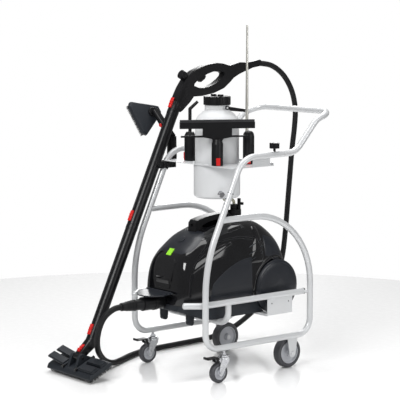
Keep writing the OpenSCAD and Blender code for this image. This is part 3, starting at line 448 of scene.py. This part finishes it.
# two raised ribs run down each extension tube
for k, (low, high) in enumerate(((SEAMS[0] + 64, SEAMS[1] - 30), (SEAMS[1] + 64, SEAMS[2] - 30))):
    for j, a in enumerate((-90, 90)):
        rib = [at(*(ALONG @ Vector((24 * math.cos(math.radians(a)), 24 * math.sin(math.radians(a)),
               low + (high - low) * t / 12)))) for t in range(13)]
        verts, faces = swept(rib, 0.0016, 10)
        new_piece("lance_rib_%d_%d" % (k, j), verts, faces, [LANCE], "trolley", slot="black")

refined("steam_handle", [BLACK], 7.0, 5, angle=50)

# ---- hose ----------------------------------------------------------------------
ROUTE = [(0, -512, 303), (-2, -548, 298), (-18, -580, 268), (-46, -584, 222),
         (-84, -568, 168), (-126, -536, 118), (-172, -489, 76), (-214, -434, 40),
         (-248, -374, 18), (-286, -306, 13), (-330, -225, 13), (-362, -140, 13),
         (-376, -40, 13), (-382, 60, 13), (-388, 160, 13), (-388, 250, 16),
         (-372, 342, 38), (-342, 424, 92), (-306, 498, 170), (-278, 542, 260),
         (-264, 567, 360), (-262, 584, 480), (-262, 596, 600), (-262, 608, 720),
         (-262, 620, 840), (-262, 634, 940), (-262, 637, 1020), (-262, 614, 1100),
         (-262, 564, 1168), (-262, 496, 1210), (-263, 420, 1222.5)]
HOSE_R = 12.0
RIB_PITCH = 4.6


def smooth_line(points, spacing):
    """Catmull-Rom line through the points, resampled to an even spacing."""
    p = [at(*q) for q in points]
    dense = []
    for i in range(len(p) - 1):
        a, b, c, d = p[max(i - 1, 0)], p[i], p[i + 1], p[min(i + 2, len(p) - 1)]
        for k in range(40):
            t = k / 40
            dense.append(0.5 * (2 * b + (c - a) * t + (2 * a - 5 * b + 4 * c - d) * t * t
                                + (3 * b - a - 3 * c + d) * t ** 3))
    dense.append(p[-1])
    length = sum((dense[i + 1] - dense[i]).length for i in range(len(dense) - 1))
    count = int(length / spacing)
    even, walked, i = [dense[0]], 0.0, 0
    for n in range(1, count):
        goal = length * n / count
        while walked + (dense[i + 1] - dense[i]).length < goal:
            walked += (dense[i + 1] - dense[i]).length
            i += 1
        step = (dense[i + 1] - dense[i])
        even.append(dense[i] + step * ((goal - walked) / step.length))
    even.append(dense[-1])
    return even, length


line, hose_length = smooth_line(ROUTE, RIB_PITCH / 1000 / 4)
RIB = (1.0, 0.99, 0.925, 0.99)
verts, faces = swept(line, HOSE_R / 1000, 20, lambda i: RIB[i % 4])
hose = new_piece("steam_hose", verts, faces, [RUBBER], "trolley", sharp=60, nodes=("hose",))

# ---- brushes -------------------------------------------------------------------
BRUSH_TILT = math.radians(24)
BRUSH_DEPTH, BRISTLE_LEN = 118.0, 17.0
ON_BRUSH = (Matrix.Translation((-204, -562, BRUSH_DEPTH / 2 * math.sin(BRUSH_TILT)))
            @ Matrix.Rotation(BRUSH_TILT, 4, "X"))


def tufts(name, spots, root, tip, radius, matrix, body, mat=BRISTLE, spread=1.0, slot="slate"):
    """Bundles of bristles: each spot gets a few thin tapering hairs from root to tip height."""
    verts, faces = [], []
    rng = random.Random(11)
    for x, y in spots:
        for k in range(5):
            a = 2 * math.pi * k / 5 + rng.random()
            dx, dy = math.cos(a) * spread, math.sin(a) * spread
            lean_x, lean_y = rng.uniform(-0.5, 0.5) + dx * 0.5, rng.uniform(-0.5, 0.5) + dy * 0.5
            base = len(verts)
            end = tip + rng.uniform(0, 0.8)
            for z, r, ox, oy in ((root, radius, 0, 0), (end, radius * 0.55, lean_x, lean_y)):
                for j in range(4):
                    b = math.pi / 2 * j
                    verts.append((x + dx + ox + r * math.cos(b), y + dy + oy + r * math.sin(b), z))
            for j in range(4):
                m = (j + 1) % 4
                faces.append((base + j, base + m, base + 4 + m, base + 4 + j))
            faces.append(tuple(base + 4 + j for j in range(4)))
    return new_piece(name, place(verts, matrix), faces, [mat], body, slot=slot)


def brush_block():
    """The moulded upper body of the floor brush, without its bristles."""
    w, d, t = 300.0, BRUSH_DEPTH, BRISTLE_LEN
    skirt = [(-d / 2 - 3, t - 1), (d / 2, t - 1), (d / 2, t + 9), (d / 2 - 3, t + 13),
             (d / 2 - 9, t + 16.4), (d / 2 - 14, t + 17), (-d / 2 + 16, t + 17),
             (-d / 2 + 9, t + 15.5), (-d / 2 + 2, t + 10), (-d / 2 - 3, t + 4)]
    n = len(skirt)
    verts = [(x, y, z) for x in (-w / 2, w / 2) for y, z in skirt]
    faces = [(i, (i + 1) % n, n + (i + 1) % n, n + i) for i in range(n)]
    faces += [tuple(range(n)), tuple(range(n, 2 * n))]
    body = new_piece("floor_brush_body", place(verts, ON_BRUSH), faces, [SLATE], "floor_brush",
                     nodes=("floor_brush",), sharp=35)
    bevel(body, 2.4, 4, 30)
    hump = [(-44, t + 15), (46, t + 15), (34, t + 30), (22, 66), (15, 71), (8, 72.5), (0, 71),
            (-8, 65), (-22, 50), (-36, 37)]
    m = len(hump)
    for s in (-1, 1):
        x0 = s * 25.2
        verts = [(x0 + e, y, z) for e in (-7, 7) for y, z in hump]
        faces = [(i, (i + 1) % m, m + (i + 1) % m, m + i) for i in range(m)]
        faces += [tuple(range(m)), tuple(range(m, 2 * m))]
        bevel(new_piece("brush_ear_%s" % ("left" if s < 0 else "right"), place(verts, ON_BRUSH),
                        faces, [SLATE], "floor_brush", slot="slate", sharp=35), 1.8, 3, 30)
        bolt("brush_pivot_%s" % ("left" if s < 0 else "right"),
             ON_BRUSH @ Vector((s * 32, 8, 56)), (s, 0, 0), 6.0, 3.0, BLACK, "floor_brush", "black")
        for v in (-46, 46):
            knuckle = [(6, -6), (6, 6), (2.2, 6), (2.2, -6)]
            verts, faces = turned("k", [(r, z) for r, z in knuckle], 28)
            spot = (Matrix.Translation((s * 44, v, t + 22)) @ Matrix.Rotation(math.pi / 2, 4, "X"))
            new_piece("clamp_knuckle_%s_%s" % ("l" if s < 0 else "r", "a" if v < 0 else "b"),
                      place(verts, ON_BRUSH @ spot), faces, [BLACK], "floor_brush", slot="black")


brush_block()
field = []
for i in range(47):
    for j in range(17):
        x, y = -138 + 276 * i / 46, -54 + 108 * j / 16
        if abs(x) > 112 or abs(y) > 32:
            field.append((x + (j % 2) * 3, y))
tufts("floor_bristles", field, BRISTLE_LEN + 1, 0.6, 0.75, ON_BRUSH, "floor_brush", spread=1.6)

TRI_TOP = Vector((-342, -82, 1035))
TRI_N = Vector((0.91, -0.10, 0.40)).normalized()
TRI_DOWN = Vector((0.32, 0.26, -0.91))
tri_a = TRI_N.cross(TRI_DOWN.cross(TRI_N)).normalized()
tri_b = tri_a.cross(TRI_N)
ON_TRI = (Matrix.Translation(TRI_TOP)
          @ Matrix((tri_a, -tri_b, TRI_N)).transposed().to_4x4())


def delta(w, h, c):
    """Outline of the corner brush: a wide base, cut corners and a blunt tip."""
    return [(-w + c, -h), (w - c, -h), (w, -h + c), (w * 0.27 + 4, 30), (14, 42), (-14, 42),
            (-w * 0.27 - 4, 30), (-w, -h + c)]


def triangle_body():
    layers = [(-50, 74, 80, 12), (-46, 78, 84, 14), (-34, 78, 84, 14), (-27, 74, 80, 15),
              (-22, 62, 66, 14)]
    rings = [[(x, y, z) for x, y in delta(w, h, c)] for z, w, h, c in layers]
    n = len(rings[0])
    verts = [v for ring in rings for v in ring]
    faces = [(k * n + i, k * n + (i + 1) % n, (k + 1) * n + (i + 1) % n, (k + 1) * n + i)
             for k in range(len(rings) - 1) for i in range(n)]
    faces += [tuple(range(n)), tuple((len(rings) - 1) * n + i for i in range(n))]
    body = new_piece("triangle_brush_body", place(verts, ON_TRI), faces, [SLATE],
                     "triangle_brush", nodes=("triangle_brush",), sharp=35)
    bevel(body, 2.2, 4, 25)
    knuckle = [(20, -24), (20, -13), (18, -10.5), (10, -10), (0.05, -10), (0.05, -24)]
    verts, faces = turned("k", knuckle, 48)
    bevel(new_piece("triangle_knuckle", place(verts, ON_TRI), faces, [BLACK], "triangle_brush",
                    slot="black"), 0.8)


triangle_body()


def triangle_spots():
    """Bristle places: a rim on all three sides, filled near the wide and the narrow end."""
    across, along = 27, 24
    for i in range(across):
        for j in range(along):
            x, y = -72 + 144 * i / (across - 1), -78 + 114 * j / (along - 1)
            edge = 74 - max(0.0, (y + 66) / 96) * 54
            if abs(x) < edge - 3 and (abs(x) > edge - 20 or y < -60 or y > 14):
                yield x, y


tufts("triangle_bristles", list(triangle_spots()), -49, -65.6, 0.9, ON_TRI, "triangle_brush",
      spread=1.3)


def triangle_latch():
    """Round red release on the side of the triangle brush's neck."""
    low, top = Vector((-266, -52, 926)), Vector((-342, -82, 1035))
    inward = Vector((-0.1, 0.9, 0.3))
    profile = [(0.05, 0), (7, 0), (8, 1), (8, 4), (7, 5), (0.05, 5)]
    verts, faces = turned("l", profile, 24)
    spot = facing(low + (top - low) * 0.5 - inward * 16, -inward)
    latch = new_piece("triangle_latch", place(verts, spot), faces, [RED], "trolley", slot="red",
                      sharp=30)
    bevel(latch, 0.6, 2, 30)


triangle_latch()

# ---- steam generator -------------------------------------------------------------
SPLIT_Z = 297.0
STATIONS = [(-312, 338, 88), (-306, 392, 104), (-297, 440, 116), (-283, 478, 126),
            (-262, 503, 134), (-235, 524, 141), (-184, 558, 148), (-132, 579, 151),
            (-80, 594, 153), (-20, 604, 153), (40, 606, 153), (90, 602, 152),
            (125, 592, 151), (165, 565, 149), (200, 530, 145), (222, 485, 139),
            (232, 430, 132), (236, 345, 126)]
ROUND = 0.55
WHEEL_Y, WHEEL_Z, WELL_R = 165.0, 330.0, 118.0


def station(u):
    """Smoothly interpolated [y, top, half width] at u from 0 (nose) to 1 (tail)."""
    n = len(STATIONS) - 1
    i = min(n - 1, int(u * n))
    f = u * n - i
    a, b, c, d = (STATIONS[max(0, min(n, i + k))] for k in (-1, 0, 1, 2))
    return [0.5 * (2 * b[k] + (c[k] - a[k]) * f + (2 * a[k] - 5 * b[k] + 4 * c[k] - d[k]) * f * f
                   + (3 * b[k] - a[k] - 3 * c[k] + d[k]) * f ** 3) for k in range(3)]


def shell_point(u, v, out=0.0):
    """A point of the cover: v runs from 0 (right base) over the ridge to 1 (left base)."""
    y, top, hw = station(u)
    t = math.pi * v
    c, s = math.cos(t), math.sin(t)
    x = (hw + out) * math.copysign(abs(c) ** ROUND, c)
    z = SPLIT_Z + (top + out - SPLIT_Z) * max(0.0, s) ** ROUND
    return Vector((x, y - (out if u < 0.12 else 0), z))


def loft(rings, arcs, grow=0.0):
    verts = [shell_point(i / rings, j / arcs, grow) for i in range(rings + 1)
             for j in range(arcs + 1)]
    faces = [(i * (arcs + 1) + j, i * (arcs + 1) + j + 1, (i + 1) * (arcs + 1) + j + 1,
              (i + 1) * (arcs + 1) + j) for i in range(rings) for j in range(arcs)]
    return verts, faces


def cutter(name, verts, faces):
    mesh = bpy.data.meshes.new(name)
    mesh.from_pydata([tuple(v) for v in verts], [], faces)
    obj = bpy.data.objects.new(name, mesh)
    bpy.context.scene.collection.objects.link(obj)
    bm = bmesh.new()
    bm.from_mesh(mesh)
    bmesh.ops.recalc_face_normals(bm, faces=bm.faces)
    bm.to_mesh(mesh)
    bm.free()
    return obj


def carve(obj, tools):
    """Cuts the tools out of the object for good."""
    for tool in tools:
        mod = obj.modifiers.new("cut", "BOOLEAN")
        mod.operation = "DIFFERENCE"
        mod.solver = "EXACT"
        mod.object = tool
    bpy.context.view_layer.update()
    done = bpy.data.meshes.new_from_object(
        obj.evaluated_get(bpy.context.evaluated_depsgraph_get()))
    obj.modifiers.clear()
    obj.data = done
    for tool in tools:
        bpy.data.objects.remove(tool)


def rounded_box(x0, y0, z0, x1, y1, z1, r, steps=6):
    """Prism with rounded upright corners."""
    ring = []
    for cx, cy, a0 in ((x1 - r, y1 - r, 0), (x0 + r, y1 - r, 90), (x0 + r, y0 + r, 180),
                       (x1 - r, y0 + r, 270)):
        for k in range(steps + 1):
            a = math.radians(a0 + 90 * k / steps)
            ring.append((cx + r * math.cos(a), cy + r * math.sin(a)))
    n = len(ring)
    verts = [(x, y, z) for z in (z0, z1) for x, y in ring]
    faces = [(i, (i + 1) % n, n + (i + 1) % n, n + i) for i in range(n)]
    return verts, faces + [tuple(range(n)), tuple(range(n, 2 * n))]


BUTTON = (0, -210, 541)


def shell():
    rings, arcs = 96, 96
    verts, faces = loft(rings, arcs)
    n = arcs + 1
    faces.append(tuple(range(n)))
    faces.append(tuple(rings * n + j for j in range(n)))
    faces += [(i * n, (i + 1) * n, (i + 1) * n + arcs, i * n + arcs) for i in range(rings)]
    obj = cutter("generator_shell", place(verts, Matrix.Identity(4)), faces)
    tools = []
    for s in (-1, 1):
        disc = [(0.05, 0), (WELL_R, 0), (WELL_R, 120), (0.05, 120)]
        v, f = turned("w", disc, 96)
        tools.append(cutter("well", place(v, facing((s * 122, WHEEL_Y, WHEEL_Z), (s, 0, 0))), f))
    v, f = rounded_box(-40, -116, 568, 40, -4, 700, 22)
    tools.append(cutter("finger_well", place(v, Matrix.Identity(4)), f))
    v, f = turned("b", [(0.05, -7), (17.6, -7), (17.6, 20), (0.05, 20)], 64)
    tools.append(cutter("button", place(v, Matrix.Translation(BUTTON)
                 @ Matrix.Rotation(math.radians(34), 4, "X")), f))
    v, f = turned("s", [(0.05, 0), (28.3, 0), (28.3, 60), (0.05, 60)], 64)
    tools.append(cutter("socket", place(v, facing((0, -280, 303), (0, -1, 0))), f))
    v, f = turned("s", [(0.05, 580), (26, 580), (26, 640), (0.05, 640)], 64)
    tools.append(cutter("valve", place(v, Matrix.Translation((0, 62, 0))), f))
    carve(obj, tools)
    mesh = obj.data
    for mat in (GLOSS, PANEL):
        mesh.materials.append(mat)
    for poly in mesh.polygons:
        poly.use_smooth = True
        poly.material_index = 0
    mesh.set_sharp_from_angle(angle=math.radians(38))
    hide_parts("generator_cover")
    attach(obj, "trolley")
    return bevel(obj, 1.2, 3, 40)


shell()


def skin_patch(name, edge_low, edge_high, u0, u1, mat, slot_name, thick=1.6, steps=60,
               across=14, lift=0.5):
    """A thin moulded panel lying on the cover between two curves v(u)."""
    verts, faces = [], []
    for i in range(steps + 1):
        f = i / steps
        u = u0 + (u1 - u0) * f
        low, high = edge_low(f), edge_high(f)
        for j in range(across + 1):
            g = j / across
            v = low + (high - low) * g
            rim = min(f, 1 - f) * 16, min(g, 1 - g) * 7
            rise = thick * min(1.0, rim[0]) * min(1.0, rim[1]) + lift - 0.9
            p = shell_point(u, v, rise)
            verts.append(tuple(p))
    for i in range(steps):
        for j in range(across):
            a = i * (across + 1) + j
            faces.append((a, a + 1, a + across + 2, a + across + 1))
    return new_piece(name, place(verts, Matrix.Identity(4)), faces, [mat], "trolley",
                     slot=slot_name)


def side_x(y, z):
    """Half width of the cover at a height and depth, on the outside of the side wall."""
    low, high = 0.0, 1.0
    for _ in range(30):
        mid = (low + high) / 2
        low, high = (mid, high) if station(mid)[0] < y else (low, mid)
    _, top, half = station(low)
    s = min(0.999, max(0.0, (z - SPLIT_Z) / (top - SPLIT_Z))) ** (1 / ROUND)
    return half * (1 - s * s) ** (ROUND / 2)


def flank(name, at_yz, mat, slot_name, steps=40, across=8, thick=1.6, crown=0.0):
    """A thin moulding on both side walls; at_yz(f, g) gives its depth and height."""
    for s, side in ((1, "right"), (-1, "left")):
        verts, faces = [], []
        for i in range(steps + 1):
            for j in range(across + 1):
                f, g = i / steps, j / across
                y, z = at_yz(f, g)
                rim = min(1.0, min(f, 1 - f) * 30, min(g, 1 - g) * 6)
                x = side_x(y, z) - 0.5 + thick * rim + crown * math.sin(math.pi * g)
                verts.append((s * x, y, z))
        for i in range(steps):
            for j in range(across):
                k = i * (across + 1) + j
                faces.append((k, k + 1, k + across + 2, k + across + 1))
        new_piece(name + "_" + side, place(verts, Matrix.Identity(4)), faces, [mat], "trolley",
                  slot=slot_name)


def blend(a, b, t):
    return a + (b - a) * t


def arch(f, g):
    turn = math.radians(blend(-13, 193, f))
    r = blend(WELL_R + 0.5, WELL_R + 14, g)
    return WHEEL_Y + r * math.cos(turn) * (1 if math.cos(turn) < 0 else 0.55), \
        max(SPLIT_Z + 1, WHEEL_Z + r * math.sin(turn))


def fin(f, g):
    z = blend(440, 582, f)
    return blend(blend(26, 62, f), blend(100, 88, f), g), z


def front_window(f, g):
    y = blend(-190, 34, f)
    top = blend(372, 476, math.sin(f * math.pi / 2) ** 0.8)
    return y + 18 * g * (1 - f), blend(302, top, g)


def rear_window(f, g):
    y = blend(104, 196, f)
    return y, blend(blend(458, 430, f), blend(556, 520, f), g)


def sweep(f, g):
    y = blend(-262, -60, f)
    z = blend(470, 500, f) + 34 * math.sin(math.pi * f * 0.5)
    return y, z + blend(-blend(52, 10, f), 0, g)


def slash(z):
    """A narrow raised line that climbs backwards across the fin."""
    return lambda f, g: (blend(20, 96, f), blend(z, z + 30, f) + 5 * g)


def side_panels():
    flank("front_window", front_window, PANEL, "slate")
    flank("rear_window", rear_window, PANEL, "slate", steps=24)
    flank("side_fin", fin, GLOSS, "shell_black", steps=24, thick=3.0, crown=2.0)
    flank("wheel_arch", arch, GLOSS, "shell_black", steps=72, thick=2.6, crown=1.2)
    flank("sweep_band", sweep, GLOSS, "shell_black", thick=2.4, crown=1.0)
    for k in range(3):
        flank("slash_%d" % k, slash(500 - 26 * k), SLATE, "slate", steps=16, across=4, thick=4.6)
    skin_patch("ridge_inlay", lambda f: 0.5 - 0.085 - 0.10 * math.sin(math.pi * f),
               lambda f: 0.5 + 0.085 + 0.10 * math.sin(math.pi * f), 0.215, 0.40, PANEL,
               "slate", thick=1.0)


side_panels()
refined("generator_base", [SLATE], 2.0, 3)
refined("carry_handle", [BLACK], 5.0, 5, angle=28)

# ---- small fittings ----------------------------------------------------------------
def tank_tap():
    """Drain tap at the foot of the bottle holder, with its lock nut."""
    aim = Vector((0.86, -0.50, 0)).normalized()
    root = Vector((0, -28, 722)) + aim * 93.5
    nut = [(14, 0), (14, 7), (9, 9), (9, 16), (7, 18), (7, 22), (0.05, 22), (0.05, 0)]
    verts, faces = turned("t", nut, 6)
    new_piece("tap_nut", place(verts, facing(root, aim)), faces, [STEEL], "trolley", slot="zinc")
    knob = [(0.05, 17), (11, 17), (12, 19), (12, 27), (10, 29), (0.05, 29)]
    verts, faces = turned("t", knob, 12)
    bevel(new_piece("tap_knob", place(verts, facing(root, aim)), faces, [STEEL], "trolley",
                    slot="zinc", sharp=20), 0.7, 2, 20)


tank_tap()
for s, name in ((-1, "left"), (1, "right")):
    for k, y in enumerate((90, 180)):
        bolt("bracket_rivet_%s_%d" % (name, k), (s * (RAIL_X - 1.5), y, 250), (-s, 0, 0), 5, 2.2)

# ---- surroundings ------------------------------------------------------------------
FLOOR_R, FLOOR_SIDES = 2.3, 96
SKY_LIGHT, SKY_SEEN = 0.24, 1.0


def floor():
    turns = [math.tau * k / FLOOR_SIDES for k in range(FLOOR_SIDES)]
    ring = [(FLOOR_R * math.cos(a), FLOOR_R * math.sin(a), -0.0005) for a in turns]
    mesh = bpy.data.meshes.new("floor")
    mesh.from_pydata(ring, [], [tuple(range(FLOOR_SIDES))])
    obj = bpy.data.objects.new("floor", mesh)
    bpy.context.scene.collection.objects.link(obj)
    mesh.materials.append(surface("studio_floor", (0.97, 0.97, 0.97), 0.20, 0.002, 60, 0.0,
                                  marks=0.03))


def lamp(name, where, size, power, colour=(1, 1, 1)):
    light = bpy.data.lights.new(name, "AREA")
    light.shape = "RECTANGLE"
    light.size, light.size_y = size
    light.energy = power
    light.color = colour
    obj = bpy.data.objects.new(name, light)
    bpy.context.scene.collection.objects.link(obj)
    obj.location = where
    aim = Vector((0, 0, 0.55)) - Vector(where)
    obj.rotation_euler = aim.to_track_quat("-Z", "Y").to_euler()
    return obj


def world():
    """White backdrop for the camera and a dimmer sky for the light on the object."""
    sky = bpy.data.worlds.new("studio")
    sky.use_nodes = True
    tree = sky.node_tree
    soft = tree.nodes["Background"]
    soft.inputs["Color"].default_value = (1, 1, 1, 1)
    soft.inputs["Strength"].default_value = SKY_LIGHT
    white = tree.nodes.new("ShaderNodeBackground")
    white.inputs["Color"].default_value = (1, 1, 1, 1)
    white.inputs["Strength"].default_value = SKY_SEEN
    path = tree.nodes.new("ShaderNodeLightPath")
    mix = tree.nodes.new("ShaderNodeMixShader")
    tree.links.new(path.outputs["Is Camera Ray"], mix.inputs["Fac"])
    tree.links.new(soft.outputs["Background"], mix.inputs[1])
    tree.links.new(white.outputs["Background"], mix.inputs[2])
    tree.links.new(mix.outputs["Shader"], tree.nodes["World Output"].inputs["Surface"])
    bpy.context.scene.world = sky
    bpy.context.scene.view_settings.view_transform = "Standard"


def camera():
    data = bpy.data.cameras.new("camera")
    data.sensor_width = 36
    data.lens = 143.7
    data.clip_end = 60
    obj = bpy.data.objects.new("camera", data)
    bpy.context.scene.collection.objects.link(obj)
    obj.location = at(4956.5, -4130.2, 1484.0)
    obj.rotation_euler = (math.radians(82.933), 0, math.radians(51))
    bpy.context.scene.camera = obj


floor()
world()
lamp("key", (1.4, -3.4, 3.2), (1.6, 1.6), 120)
lamp("fill", (3.8, 0.8, 1.8), (2.4, 1.4), 42)
lamp("top", (-0.4, 0.4, 4.2), (3.4, 3.4), 150)
lamp("rim", (-3.0, 2.6, 2.2), (1.2, 2.0), 50)
camera()
